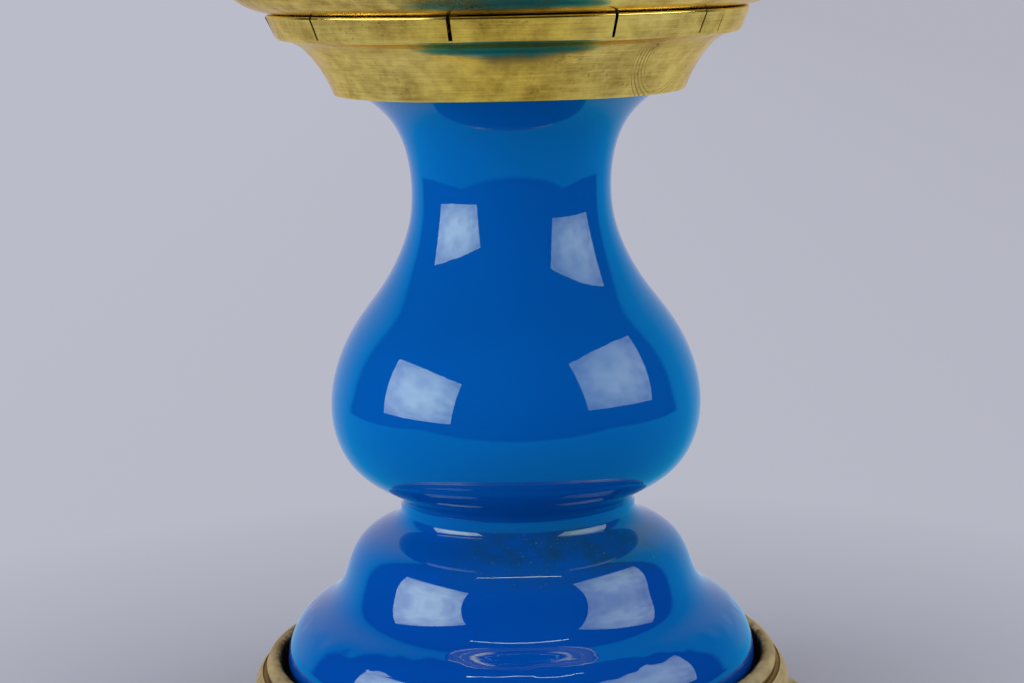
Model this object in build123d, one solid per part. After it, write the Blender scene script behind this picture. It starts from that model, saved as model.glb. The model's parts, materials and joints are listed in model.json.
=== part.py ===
from build123d import *
import os
from math import cos, radians, sin

# Opaline-glass and brass oil lamp. A tie rod clamps the blown glass body between a moulded
# brass foot and a spun brass collar. The oil font drops into the collar's spring fingers, and
# a round-wick burner with a glass chimney screws into the font.
# Units are millimetres, +Z is up, and the origin is the centre of the base.

os.makedirs("parts", exist_ok=True)

RUNNING_GAP = 0.3       # between pieces that part from each other
SOLDER_GAP = 0.03       # between pieces soldered or pressed together
BOTTOM = (Align.CENTER, Align.CENTER, Align.MIN)

# ---- foot
FOOT_RIM_R = 72.0       # widest bead of the brass foot
FOOT_LIP_Z = 24.4       # rounded lip around the glass
FOOT_HEM_Z = 0.8        # the brass hem stands this far off the table, on the felt
FOOT_WALL = 3.8         # cast wall at the hem
POCKET_R = 54.2         # pocket that takes the foot of the glass
SHELF_Z = 13.0          # shelf inside the pocket
SHELF_T = 1.5
FELT_R = 67.4
FELT_T = 2.4
BALLAST_R = 57.2
BALLAST_BORE_R = 4.0
BALLAST_POCKET_R = 14.0  # room for the nut and a socket key
BALLAST_WEB_Z = 9.5      # underside of the web that the washer bears on
FOOT_GASKET_R = (46.5, 52.6)

# ---- tie rod and its M6 hardware
ROD_R = 3.0
ROD_LOW_Z = 2.9
ROD_HOLE_R = 3.4
WASHER_R = 7.5
WASHER_T = 1.2
NUT_ACROSS_FLATS = 10.0
NUT_T = 5.0
ROD_PROUD = 0.6         # how far the rod stands out of the upper nut

# ---- glass body
GLASS_WALL = 3.2
GLASS_LOW_Z = 14.0
GLASS_FOOT_R = 53.0
WAIST_R = 26.4
WAIST_Z = (57.4, 59.9)
BULGE_R = 41.35
BULGE_Z = 82.0
NECK_R = 22.0
NECK_Z = 129.0
GLASS_RIM_R = 36.6
GLASS_RIM_Z = 156.2
RIM_GASKET_R = (33.8, 38.4)

# ---- font collar
COLLAR_T = 1.0
COLLAR_HEM_R = 38.3
COLLAR_HEM_Z = 150.5
COLLAR_FLOOR_R = 41.0
COLLAR_FLOOR_Z = 157.0
COLLAR_FLOOR_T = 1.1
COVE = (44.2, 160.2)    # where the trumpet tightens into the cove under the band
SHOULDER = (49.4, 162.8)
BAND_LOW_R = 50.9
BAND_LOW_Z = 164.0
BAND_TOP_R = 52.7
BAND_TOP_Z = 168.3
SLIT_W = 0.8
SLIT_DEPTH = 4.7        # down from the top of the band
# Hand-sawn slits, in degrees round from the front, uneven as a saw and a scriber leave them.
SLIT_AZIMUTHS = (-81, -50, -13, 24, 50, 58, 104, 143, 181, 219, 248)

# ---- font
FONT_T = 0.8
PLUG_R = 40.6           # the foot of the font, inside the collar cup
PLUG_LOW_Z = 160.2
KICK_R = 14.0           # the middle of the bottom is pushed up, clear of the nut
KICK_Z = 165.6
SEAT_R = 49.4           # the cylinder that the spring fingers grip
SEAT_Z = (164.9, 168.6)
FONT_R = 67.0
FONT_Z = 194.5          # seam between bowl and dome
SEAM_R = 67.8
SEAM_H = 1.8
MOUTH_R = 24.6
MOUTH_Z = 223.2

# ---- burner
THREAD_R = 23.6         # bore of the ring that the burner screws into
RING_LOW_Z = 221.2
RING_R = 27.6
RING_TOP_Z = 231.0
BASE_FLANGE_R = 28.3
BASE_T = 1.3
BASE_LOW_Z = 223.7
WICK_TUBE_R = 15.3
WICK_TUBE_T = 0.8
WICK_TUBE_Z = (216.0, 270.0)
SPUR_WINDOW = 11.0      # the spurs reach the wick through a square window
AIR_TUBE_R = 11.7
AIR_TUBE_T = 0.7
AIR_TUBE_LOW_Z = 236.0
DUCT_W = 9.0            # the duct that feeds air to the middle, through the wick's slit
DUCT_H = 15.0
DUCT_T = 0.7
BASKET_R = 27.7
BASKET_T = 0.8
BASKET_Z = (232.62, 254.0)
BASKET_SLOTS = 24
BASKET_SLOT_W = 3.0
BASKET_SLOT_H = 12.0
CUT = 8.0               # a cutter this deep passes through any wall of sheet brass

# ---- wick and its winding key
WICK_R = 14.25
WICK_T = 2.3
WICK_SLIT_W = 10.2
WICK_Z = (180.0, 271.5)
KEY_Y = 18.9            # the spindle passes behind the wick tube
KEY_Z = 244.0
SPINDLE_R = 1.5
SPINDLE_X = (-8.0, 50.0)
BUSH_R = 2.9
BUSH_X = (8.5, 31.0)
BUSH_FLANGE_R = 3.8
BUSH_FLANGE_T = 1.4
SPINDLE_PLAY = 0.05
SPUR_R = 4.7
SPUR_W = 2.0
SPUR_X = 3.5
SPUR_TEETH = 10
SPUR_TOOTH = 1.3
KNOB_R = 8.5
KNOB_W = 3.4
KNOB_NOTCHES = 16
KNOB_NOTCH = 0.9
KNOB_DISH = 1.4         # how deep its face is dished
KNOB_HUB_R = 3.2
KNOB_HUB_L = 3.0

# ---- gallery and chimney
GALLERY_T = 1.0
GALLERY_HOLE_R = 19.8
CHIMNEY_R = 26.6
CHIMNEY_WALL = 1.8
CHIMNEY_THROAT_R = 17.6
CHIMNEY_TOP_R = 19.5
CHIMNEY_FOOT_H = 36.0
CHIMNEY_H = 265.0
SHOULDER_R = 23.0       # where the chimney's shoulder turns in to its throat
SHOULDER_H = 6.0
THROAT_H = 15.0
PRONG_T = 0.8
PRONG_H = 15.0
PRONG_FLARE = 1.8
PRONG_W = 7.0
PRONGS = 8


def turned(*outline):
    """A solid turned about the lamp's axis from edges in (radius, height), end to end."""
    return revolve(Plane.XZ * make_face(outline), Axis.Z)


def sheet(outline, thickness, outward=False):
    """A spun shell: the outline, in (radius, height), thickened to one side and turned."""
    curve = Plane.XZ * outline
    reach = curve.bounding_box().max.X + thickness / 2
    for side in (Side.LEFT, Side.RIGHT):
        wall = make_face(offset(curve, amount=thickness, side=side, closed=True,
                                kind=Kind.INTERSECTION))
        # Which side is the outer one depends on how the curve bends, so its reach decides.
        if (wall.bounding_box().max.X > reach) == outward:
            return revolve(wall, Axis.Z)
    raise ValueError("no side of this outline gives the wall asked for")


def ring(inner_r, outer_r, low_z, high_z):
    height = high_z - low_z
    tube = Cylinder(outer_r, height, align=BOTTOM) - Cylinder(inner_r, height, align=BOTTOM)
    return Pos(0, 0, low_z) * tube


def disc(radius, low_z, high_z):
    return Pos(0, 0, low_z) * Cylinder(radius, high_z - low_z, align=BOTTOM)


def around(azimuth):
    """Turns something built at the front of the lamp, on -Y, round to this azimuth."""
    return Rot(0, 0, azimuth)


def on_spindle(x, piece):
    """Lays a piece built along +Z on the key's spindle, its base at this x."""
    return Pos(x, KEY_Y, KEY_Z) * Rot(0, 90, 0) * piece


# ------------------------------------------------------------------------------ pedestal

def foot_base():
    """Cast foot: hem bead, wide cove, ovolo, a groove and the lip round the glass."""
    under_z = SHELF_Z - SHELF_T
    hem = ThreePointArc((FOOT_RIM_R - 1.2, FOOT_HEM_Z), (FOOT_RIM_R, 3.2), (70.4, 5.9))
    ledge = Line(hem @ 1, (69.2, 6.4))
    cove = ThreePointArc(ledge @ 1, (63.5, 8.6), (60.9, 13.4))
    step = Polyline(cove @ 1, (59.9, 13.7), (60.4, 14.8))
    ovolo = ThreePointArc(step @ 1, (60.7, 18.1), (59.0, 21.2))
    groove = ThreePointArc(ovolo @ 1, (58.2, 20.6), (57.7, 21.5))
    lip = ThreePointArc(groove @ 1, (57.7, 23.4), (56.2, FOOT_LIP_Z))
    lip_inside = ThreePointArc(lip @ 1, (55.2, FOOT_LIP_Z - 0.1), (54.7, 23.6))
    pocket = Polyline(lip_inside @ 1, (POCKET_R, SHELF_Z), (ROD_HOLE_R, SHELF_Z),
                      (ROD_HOLE_R, under_z), (BALLAST_R + 0.6, under_z), (58.6, 8.2),
                      (61.8, 4.8), (FOOT_RIM_R - FOOT_WALL, 3.6),
                      (FOOT_RIM_R - FOOT_WALL, FOOT_HEM_Z), hem @ 0)
    return turned(hem, ledge, cove, step, ovolo, groove, lip, lip_inside, pocket)


def felt_pad():
    return disc(FELT_R, 0, FELT_T)


def ballast_weight():
    """Cast ring weight in the hollow of the foot, with a pocket below for nut and washer."""
    top_z = SHELF_Z - SHELF_T
    weight = ring(BALLAST_BORE_R, BALLAST_R, FELT_T, top_z)
    return weight - disc(BALLAST_POCKET_R, FELT_T, BALLAST_WEB_Z)


def washer(low_z):
    return ring(ROD_R + 0.2, WASHER_R, low_z, low_z + WASHER_T)


def nut(low_z):
    blank = RegularPolygon(NUT_ACROSS_FLATS / 2, 6, major_radius=False)
    return Pos(0, 0, low_z) * extrude(blank - Circle(ROD_R + SOLDER_GAP), NUT_T)


def tie_rod(high_z):
    return disc(ROD_R, ROD_LOW_Z, high_z)


def foot_gasket():
    return ring(*FOOT_GASKET_R, SHELF_Z, GLASS_LOW_Z)


def glass_body():
    """Blown shell: tiered foot, pinched waist, bulb, slim neck and flared mouth."""
    foot = Spline((50.9, GLASS_LOW_Z), (52.6, 19.5), (GLASS_FOOT_R, 24.5), (51.8, 28.8),
                  (47.9, 34.0), (42.3, 38.0), (39.7, 42.0), (38.1, 46.5), (35.8, 50.3),
                  (30.8, 53.7), (WAIST_R, WAIST_Z[0]),
                  tangents=((0.4, 1), (-0.25, 1)))
    waist = Line((WAIST_R, WAIST_Z[0]), (WAIST_R, WAIST_Z[1]))
    bulb = Spline((WAIST_R, WAIST_Z[1]), (32.0, 64.2), (37.1, 68.4), (40.5, 75.0),
                  (BULGE_R, BULGE_Z), (39.5, 91.5), (35.2, 100.0), (29.3, 108.0),
                  (24.8, 116.0), (22.55, 123.0), (NECK_R, NECK_Z), (22.85, 137.0),
                  (25.85, 144.2), (31.2, 149.5), (GLASS_RIM_R, 154.0),
                  tangents=((0.55, 1), (0.9, 1)))
    # The blowpipe's side of the wall is rounder than the mould's side, so it is plainer.
    inside = Polyline((GLASS_RIM_R, 154.0), (GLASS_RIM_R, GLASS_RIM_Z), (33.2, GLASS_RIM_Z),
                      (33.2, 154.6), (20.6, 141.0), (NECK_R - GLASS_WALL, 128.0), (20.4, 118.0),
                      (37.9, 86.0), (35.6, 72.0), (WAIST_R - GLASS_WALL, 60.6),
                      (WAIST_R - GLASS_WALL, 56.6), (33.6, 47.5), (37.0, 39.8), (48.6, 28.0),
                      (47.6, GLASS_LOW_Z), (50.9, GLASS_LOW_Z))
    return turned(foot, waist, bulb, inside)


def rim_gasket():
    return ring(*RIM_GASKET_R, GLASS_RIM_Z, COLLAR_FLOOR_Z)


def collar_outline():
    """Outer profile of the collar: a trumpet, the cove under its band and the springy band."""
    trumpet = TangentArc((COLLAR_HEM_R, COLLAR_HEM_Z), COVE, tangent=(0.36, 1))
    cove = TangentArc(trumpet @ 1, SHOULDER, tangent=trumpet % 1)
    turn = TangentArc(cove @ 1, (BAND_LOW_R, BAND_LOW_Z), tangent=cove % 1)
    band = Line(turn @ 1, (BAND_TOP_R, BAND_TOP_Z))
    return trumpet + cove + turn + band


def font_collar():
    """Spun cup with a floor on the glass's rim; its band is sawn into spring fingers."""
    cup = sheet(collar_outline(), COLLAR_T) & disc(BAND_TOP_R + 1, COLLAR_HEM_Z, BAND_TOP_Z)
    cup += ring(ROD_HOLE_R, COLLAR_FLOOR_R, COLLAR_FLOOR_Z, COLLAR_FLOOR_Z + COLLAR_FLOOR_T)
    slit = Pos(0, -BAND_LOW_R, BAND_TOP_Z - SLIT_DEPTH) * Box(SLIT_W, CUT, CUT, align=BOTTOM)
    for azimuth in SLIT_AZIMUTHS:
        cup -= around(azimuth) * slit
    return cup


# ---------------------------------------------------------------------------------- font

def font_bowl():
    """Lower half of the font: pushed-up bottom, plug, gripped seat and the round bowl."""
    bottom = Polyline((0, KICK_Z), (KICK_R, KICK_Z), (PLUG_R - 4.6, PLUG_LOW_Z))
    heel = ThreePointArc(bottom @ 1, (PLUG_R - 1.3, PLUG_LOW_Z + 1.0), (PLUG_R, PLUG_LOW_Z + 3.8))
    step = Polyline(heel @ 1, (PLUG_R, SEAT_Z[0]), (SEAT_R, SEAT_Z[0]), (SEAT_R, SEAT_Z[1]))
    belly = ThreePointArc(step @ 1, (58.2, 171.0), (63.6, 177.5))
    side = TangentArc(belly @ 1, (FONT_R, FONT_Z), tangent=belly % 1)
    return sheet(bottom + heel + step + belly + side, FONT_T)


def font_dome():
    """Upper half: a low dome with a folded seam where it meets the bowl, up to the mouth."""
    seam_z = FONT_Z + SOLDER_GAP
    shoulder = TangentArc((FONT_R, seam_z), (57.0, 209.0), tangent=(0, 1))
    crown = TangentArc(shoulder @ 1, (30.0, 218.4), tangent=shoulder % 1)
    neck = TangentArc(crown @ 1, (MOUTH_R, MOUTH_Z), tangent=crown % 1)
    shell = sheet(shoulder + crown + neck, FONT_T)
    return shell + ring(FONT_R - 0.1, SEAM_R, seam_z, FONT_Z + SEAM_H)


def burner_ring():
    """Threaded ring soldered into the mouth of the font, with a turned bead outside."""
    outer_r = THREAD_R + 0.15
    body_r = RING_R - 1.2
    seat_z = MOUTH_Z + 0.6
    bead = ThreePointArc((body_r, seat_z), (RING_R, seat_z + 2.4), (body_r, seat_z + 4.8))
    return turned(
        Polyline((THREAD_R, RING_LOW_Z), (outer_r, RING_LOW_Z), (outer_r, seat_z), bead @ 0),
        bead,
        Polyline(bead @ 1, (body_r, RING_TOP_Z), (THREAD_R, RING_TOP_Z), (THREAD_R, RING_LOW_Z)),
    )


# -------------------------------------------------------------------------------- burner

def burner_base():
    """Screwed cup with a flange; the wick tube passes through its floor."""
    plug_r = THREAD_R - RUNNING_GAP
    low_z = RING_TOP_Z + RUNNING_GAP
    cup = ring(plug_r - BASE_T, plug_r, BASE_LOW_Z, low_z)
    flange = ring(WICK_TUBE_R + SOLDER_GAP, BASE_FLANGE_R, low_z, low_z + BASE_T)
    return cup + flange


def air_basket():
    """Slotted drum that lets air in to the flame and carries the gallery."""
    low_z, high_z = BASKET_Z
    middle_z = (low_z + high_z) / 2
    drum = ring(BASKET_R - BASKET_T, BASKET_R, low_z, high_z)
    slot = Pos(0, -BASKET_R, middle_z) * Box(BASKET_SLOT_W, CUT, BASKET_SLOT_H)
    for index in range(BASKET_SLOTS):
        drum -= around((index + 0.5) * 360 / BASKET_SLOTS) * slot
    return drum - on_spindle(0, Cylinder(BUSH_R + SOLDER_GAP, 2 * BASKET_R, align=BOTTOM))


def duct(clearance):
    """Outside of the air duct, from inside the air tube to the wick tube's outer face."""
    width = DUCT_W + 2 * clearance
    height = DUCT_H + 2 * clearance
    start_y = -(AIR_TUBE_R - 1.0)
    return Pos(0, start_y, AIR_TUBE_LOW_Z + DUCT_H / 2) * Box(
        width, CUT, height, align=(Align.CENTER, Align.MAX, Align.CENTER))


def wick_tube():
    """Outer tube of the burner, with a window behind for the spurs and one for the duct."""
    low_z, high_z = WICK_TUBE_Z
    tube = ring(WICK_TUBE_R - WICK_TUBE_T, WICK_TUBE_R, low_z, high_z)
    window = Pos(0, WICK_TUBE_R, KEY_Z) * Box(SPUR_WINDOW, CUT, SPUR_WINDOW)
    return tube - window - duct(SOLDER_GAP)


def air_tube():
    """Inner tube, shut below, with the duct that brings air in through the wick's slit."""
    high_z = WICK_TUBE_Z[1]
    inner_r = AIR_TUBE_R - AIR_TUBE_T
    body = disc(AIR_TUBE_R, AIR_TUBE_LOW_Z, high_z)
    body += duct(0) & disc(WICK_TUBE_R, AIR_TUBE_LOW_Z, high_z)
    body -= disc(inner_r, AIR_TUBE_LOW_Z + DUCT_T, high_z)
    channel = Pos(0, 0, AIR_TUBE_LOW_Z + DUCT_H / 2) * Box(
        DUCT_W - 2 * DUCT_T, 2 * WICK_TUBE_R, DUCT_H - 2 * DUCT_T,
        align=(Align.CENTER, Align.MAX, Align.CENTER))
    return body - channel


def spindle_bush():
    """Bearing sleeve for the key, soldered through the wall of the basket."""
    length = BUSH_X[1] - BUSH_X[0]
    flange = Cylinder(BUSH_FLANGE_R, BUSH_FLANGE_T, align=BOTTOM)
    sleeve = Cylinder(BUSH_R, length, align=BOTTOM) + Pos(0, 0, length - BUSH_FLANGE_T) * flange
    sleeve -= Cylinder(SPINDLE_R + SPINDLE_PLAY, length, align=BOTTOM)
    return on_spindle(BUSH_X[0], sleeve)


def wick_spindle():
    low_x, high_x = SPINDLE_X
    return on_spindle(low_x, Cylinder(SPINDLE_R, high_x - low_x, align=BOTTOM))


def star(outer_r, inner_r, points):
    """A flat star with pointed teeth."""
    corners = []
    for index in range(2 * points):
        radius = outer_r if index % 2 == 0 else inner_r
        angle = radians(180 * index / points)
        corners.append((radius * cos(angle), radius * sin(angle)))
    return make_face(Polyline(*corners, close=True))


def spur_wheels():
    """Two star wheels with pointed teeth that carry the wick up and down."""
    face = star(SPUR_R, SPUR_R - SPUR_TOOTH, SPUR_TEETH) - Circle(SPINDLE_R + SOLDER_GAP)
    wheel = extrude(face, SPUR_W)
    return Compound([on_spindle(side * SPUR_X - SPUR_W / 2, wheel) for side in (-1, 1)])


def wick_knob():
    """Milled knob, dished on its face, pressed on the end of the spindle."""
    blank = extrude(star(KNOB_R, KNOB_R - KNOB_NOTCH, KNOB_NOTCHES), KNOB_W)
    blank -= Pos(0, 0, KNOB_W) * Cone(1.0, KNOB_R - 2.2, KNOB_DISH,
                                      align=(Align.CENTER, Align.CENTER, Align.MAX))
    blank += Pos(0, 0, -KNOB_HUB_L) * Cylinder(KNOB_HUB_R, KNOB_HUB_L, align=BOTTOM)
    blank -= Pos(0, 0, -KNOB_HUB_L) * Cylinder(SPINDLE_R + SOLDER_GAP, CUT, align=BOTTOM)
    return on_spindle(SPINDLE_X[1] - 2.0, blank)


def wick():
    """Woven cotton wick curled to a tube, its two edges apart where the duct passes."""
    low_z, high_z = WICK_Z
    slit = Pos(0, -WICK_R, low_z) * Box(WICK_SLIT_W, 2 * WICK_R, high_z - low_z, align=BOTTOM)
    return ring(WICK_R - WICK_T, WICK_R, low_z, high_z) - slit


def gallery():
    """Seat for the chimney with a crown of sprung prongs that flare out at their tips."""
    low_z = BASKET_Z[1]
    seat = ring(GALLERY_HOLE_R, CHIMNEY_R + RUNNING_GAP + PRONG_T, low_z, low_z + GALLERY_T)
    inner_r = CHIMNEY_R + RUNNING_GAP
    upright = Line((inner_r, low_z + 0.2), (inner_r, low_z + 0.7 * PRONG_H))
    tip = TangentArc(upright @ 1, (inner_r + PRONG_FLARE, low_z + PRONG_H),
                     tangent=upright % 1)
    crown = sheet(upright + tip, PRONG_T, outward=True)
    prongs = []
    blade = Pos(0, 0, low_z) * Box(PRONG_W, 2 * CHIMNEY_R, 2 * PRONG_H,
                                   align=(Align.CENTER, Align.MAX, Align.CENTER))
    for index in range(PRONGS):
        prongs.append(crown & (around((index + 0.5) * 360 / PRONGS) * blade))
    return seat + prongs


def chimney():
    """Blown chimney: straight foot, a sharp throat above the flame, and a tall flue."""
    low_z = BASKET_Z[1] + GALLERY_T + RUNNING_GAP
    foot = Line((CHIMNEY_R, low_z), (CHIMNEY_R, low_z + CHIMNEY_FOOT_H))
    top_z = low_z + CHIMNEY_FOOT_H
    shoulder = TangentArc(foot @ 1, (SHOULDER_R, top_z + SHOULDER_H), tangent=foot % 1)
    throat = TangentArc(shoulder @ 1, (CHIMNEY_THROAT_R, top_z + THROAT_H),
                        tangent=shoulder % 1)
    flue = Line(throat @ 1, (CHIMNEY_TOP_R, low_z + CHIMNEY_H))
    return sheet(foot + shoulder + throat + flue, CHIMNEY_WALL)


def main():
    collar_top_z = COLLAR_FLOOR_Z + COLLAR_FLOOR_T
    lower_washer_z = BALLAST_WEB_Z - WASHER_T
    nodes = {
        "foot_base": foot_base(),
        "felt_pad": felt_pad(),
        "ballast_weight": ballast_weight(),
        "lower_washer": washer(lower_washer_z),
        "lower_nut": nut(lower_washer_z - NUT_T),
        "tie_rod": tie_rod(collar_top_z + WASHER_T + NUT_T + ROD_PROUD),
        "foot_gasket": foot_gasket(),
        "glass_body": glass_body(),
        "rim_gasket": rim_gasket(),
        "font_collar": font_collar(),
        "upper_washer": washer(collar_top_z),
        "upper_nut": nut(collar_top_z + WASHER_T),
        "font_bowl": font_bowl(),
        "font_dome": font_dome(),
        "burner_ring": burner_ring(),
        "burner_base": burner_base(),
        "air_basket": air_basket(),
        "wick_tube": wick_tube(),
        "air_tube": air_tube(),
        "spindle_bush": spindle_bush(),
        "gallery": gallery(),
        "wick_spindle": wick_spindle(),
        "spur_wheels": spur_wheels(),
        "wick_knob": wick_knob(),
        "wick": wick(),
        "chimney": chimney(),
    }
    for name, piece in nodes.items():
        export_step(piece, f"parts/{name}.step")


main()
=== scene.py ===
import json
from functools import partial
from math import cos, pi, radians, sin

import bpy
import numpy as np
from bpy.props import FloatProperty, FloatVectorProperty, IntProperty, PointerProperty
from mathutils import Matrix, Quaternion, Vector


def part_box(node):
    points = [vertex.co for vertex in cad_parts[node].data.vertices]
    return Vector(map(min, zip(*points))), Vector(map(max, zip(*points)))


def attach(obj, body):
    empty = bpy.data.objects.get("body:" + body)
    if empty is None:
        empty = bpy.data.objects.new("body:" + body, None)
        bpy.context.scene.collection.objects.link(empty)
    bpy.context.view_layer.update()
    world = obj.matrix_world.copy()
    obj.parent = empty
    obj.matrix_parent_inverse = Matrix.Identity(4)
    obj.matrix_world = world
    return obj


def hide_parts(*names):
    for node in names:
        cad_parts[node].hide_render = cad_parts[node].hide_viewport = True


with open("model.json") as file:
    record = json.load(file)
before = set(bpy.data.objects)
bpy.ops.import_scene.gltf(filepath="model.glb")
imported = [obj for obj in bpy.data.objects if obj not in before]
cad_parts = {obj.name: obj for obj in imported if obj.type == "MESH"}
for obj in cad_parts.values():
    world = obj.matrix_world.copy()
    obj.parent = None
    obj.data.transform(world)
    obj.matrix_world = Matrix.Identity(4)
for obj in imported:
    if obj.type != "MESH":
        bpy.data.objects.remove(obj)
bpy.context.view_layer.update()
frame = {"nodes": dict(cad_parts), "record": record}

bl_info = {
    "name": "Opaline Oil Lamp",
    "version": (1, 0, 0),
    "blender": (4, 5, 0),
    "location": "3D View > Sidebar > Oil Lamp",
    "description": "Blue opaline glass and brass oil lamp with font, burner and chimney",
    "category": "Add Mesh",
}

# The lamp stands on z = 0 with its axis on z, its front towards -y and its winding key
# towards +x. An outline is (radius, height) in millimetres, its height counted from the
# lowest point of its CAD node, and runs up the outside of the piece.
MM = 0.001
NODES = frame["nodes"]
COLUMNS = 288           # steps round the axis for the large turned pieces
FINE_COLUMNS = 480      # the same where an edge is milled or threaded
SHARP = radians(38)     # an edge that turns more than this stays crisp
FRONT = -pi / 2         # angle of -y, from which the collar's slits are counted


# ---- outlines

def spline(points, start, end, count):
    """Cubic through the points, twice continuous, with their chord length as parameter.
    It leaves along start and arrives along end. The slopes at the points come from the usual
    three-term equations, and each span is then a Hermite cubic."""
    points = np.array(points, float)
    span = np.hypot(*np.diff(points, axis=0).T)
    knots = np.r_[0, np.cumsum(span)]
    size = len(points)
    before, after = span[:-1], span[1:]
    inner = np.arange(1, size - 1)
    system = np.eye(size)
    system[inner, inner - 1] = after
    system[inner, inner] = 2 * (before + after)
    system[inner, inner + 1] = before
    step = np.diff(points, axis=0) / span[:, None]
    right = np.zeros((size, 2))
    right[0] = np.array(start) / np.hypot(*start)
    right[-1] = np.array(end) / np.hypot(*end)
    right[1:-1] = 3 * (after[:, None] * step[:-1] + before[:, None] * step[1:])
    slope = np.linalg.solve(system, right)
    at = np.linspace(0, knots[-1], count)
    i = np.clip(np.searchsorted(knots, at, side="right") - 1, 0, size - 2)
    h = span[i][:, None]
    t = ((at - knots[i]) / span[i])[:, None]
    return ((2 * t**3 - 3 * t**2 + 1) * points[i] + (t**3 - 2 * t**2 + t) * h * slope[i]
            + (3 * t**2 - 2 * t**3) * points[i + 1] + (t**3 - t**2) * h * slope[i + 1])


def swing(start, tangent, end, count=24):
    """Arc of a circle that leaves start along tangent and ends at end, and its last direction.
    The chord makes half the arc's whole turn with the tangent."""
    start, end = np.array(start, float), np.array(end, float)
    ahead = np.array(tangent, float) / np.hypot(*tangent)
    aside = np.array([-ahead[1], ahead[0]])
    chord = end - start
    half = np.arctan2(chord @ aside, chord @ ahead)
    radius = np.hypot(*chord) / (2 * np.sin(half))
    angle = np.linspace(0, 2 * half, count)[:, None]
    points = start + radius * (np.sin(angle) * ahead + (1 - np.cos(angle)) * aside)
    return points, np.cos(2 * half) * ahead + np.sin(2 * half) * aside


def arc(start, middle, end, count=16):
    """Arc of the circle through three points. Its first direction turns from the whole chord
    by the angle between the two part chords."""
    start, middle, end = (np.array(point, float) for point in (start, middle, end))
    turn = np.arctan2(*(end - middle)[::-1]) - np.arctan2(*(middle - start)[::-1])
    heading = np.arctan2(*(end - start)[::-1]) - (turn + pi) % (2 * pi) + pi
    return swing(start, (np.cos(heading), np.sin(heading)), end, count)[0]


def joined(*legs):
    """Legs end to end, with each repeated point taken once."""
    points = np.concatenate([np.array(leg, float).reshape(-1, 2) for leg in legs])
    fresh = np.r_[True, np.hypot(*np.diff(points, axis=0).T) > 1e-6]
    return points[fresh]


def eased(points, radius, closed=True, steps=7, least=radians(14)):
    """Corners rounded: each corner that turns more than least gives way to a quadratic curve
    that starts and ends at most radius away along its two sides."""
    points = np.array(points, float)
    before = np.roll(points, 1, axis=0) - points
    after = np.roll(points, -1, axis=0) - points
    a, b = np.hypot(*before.T), np.hypot(*after.T)
    u, v = before / a[:, None], after / b[:, None]
    corner = pi - np.arccos(np.clip((u * v).sum(1), -1, 1)) > least
    if not closed:
        corner[[0, -1]] = False
    cut = np.minimum(radius, 0.48 * np.minimum(a, b))[:, None]
    t = np.linspace(0, 1, steps)[None, :, None]
    first, last = (points + cut * u)[:, None], (points + cut * v)[:, None]
    curve = (1 - t) ** 2 * first + 2 * t * (1 - t) * points[:, None] + t**2 * last
    curve = np.where(corner[:, None, None], curve, points[:, None])
    keep = np.repeat(corner[:, None], steps, axis=1)
    keep[:, 0] = True
    return curve[keep]


def dense(points, step, closed=True):
    """Points added along each straight run, so that none is longer than about step."""
    ring = np.vstack([points, points[:1]]) if closed else points
    run = np.hypot(*np.diff(ring, axis=0).T)
    parts = np.maximum(1, np.ceil(run / step).astype(int))
    place = np.arange(parts.sum()) - np.repeat(np.cumsum(parts) - parts, parts)
    share = (place / np.repeat(parts, parts))[:, None]
    start = np.repeat(ring[:-1], parts, axis=0)
    added = start + share * (np.repeat(ring[1:], parts, axis=0) - start)
    return added if closed else np.vstack([added, points[-1:]])


def walled(outline, thickness, from_axis=False, lips=9):
    """Closed profile of a sheet: the outline, a half circle over its lip, the same outline
    moved to its left by the thickness, and a half circle back. The ends are first cut back by
    half the thickness, so that the lips end where the outline did. A sheet from the axis keeps
    its first end, and has no lip there."""
    length = np.r_[0, np.cumsum(np.hypot(*np.diff(outline, axis=0).T))]
    first, last = 0 if from_axis else thickness / 2, length[-1] - thickness / 2
    at = np.r_[first, length[(length > first) & (length < last)], last]
    outer = np.stack([np.interp(at, length, column) for column in outline.T], axis=1)
    ahead = np.gradient(outer, axis=0)
    ahead *= thickness / 2 / np.hypot(*ahead.T)[:, None]
    across = np.stack([ahead[:, 1], -ahead[:, 0]], axis=1)
    inner = outer - 2 * across
    angle = np.linspace(0, pi, lips)[1:-1, None]
    far = outer[-1] - across[-1] + np.cos(angle) * across[-1] + np.sin(angle) * ahead[-1]
    profile = np.concatenate([outer, far, inner[::-1]])
    if from_axis:
        profile[[0, -1], 0] = 0
        return profile
    near = outer[0] - across[0] - np.cos(angle) * across[0] - np.sin(angle) * ahead[0]
    return np.concatenate([profile, near])


# ---- surfaces

def lathe(radius, height, azimuth):
    """Grid in metres: x = r cos a, y = r sin a, z = height, from millimetres."""
    radius, height, azimuth = np.broadcast_arrays(radius, height, azimuth)
    return MM * np.stack([radius * np.cos(azimuth), radius * np.sin(azimuth), height], axis=2)


def all_round(columns=COLUMNS):
    """Evenly spaced angles round the axis, as a row."""
    return np.arange(columns)[None] * 2 * pi / columns


def turned(profile):
    """Grid of a profile turned round the axis."""
    return lathe(*profile.T[..., None], all_round())


def grid_faces(rows, columns, closed_rows):
    """Corner numbers of the faces of a grid whose columns close round."""
    i = np.arange(rows if closed_rows else rows - 1)[:, None]
    j = np.arange(columns)[None]
    down, right = (i + 1) % rows, (j + 1) % columns
    corners = np.broadcast_arrays(i * columns + j, i * columns + right,
                                  down * columns + right, down * columns + j)
    return np.stack(corners, axis=2).reshape(-1, 4)


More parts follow.
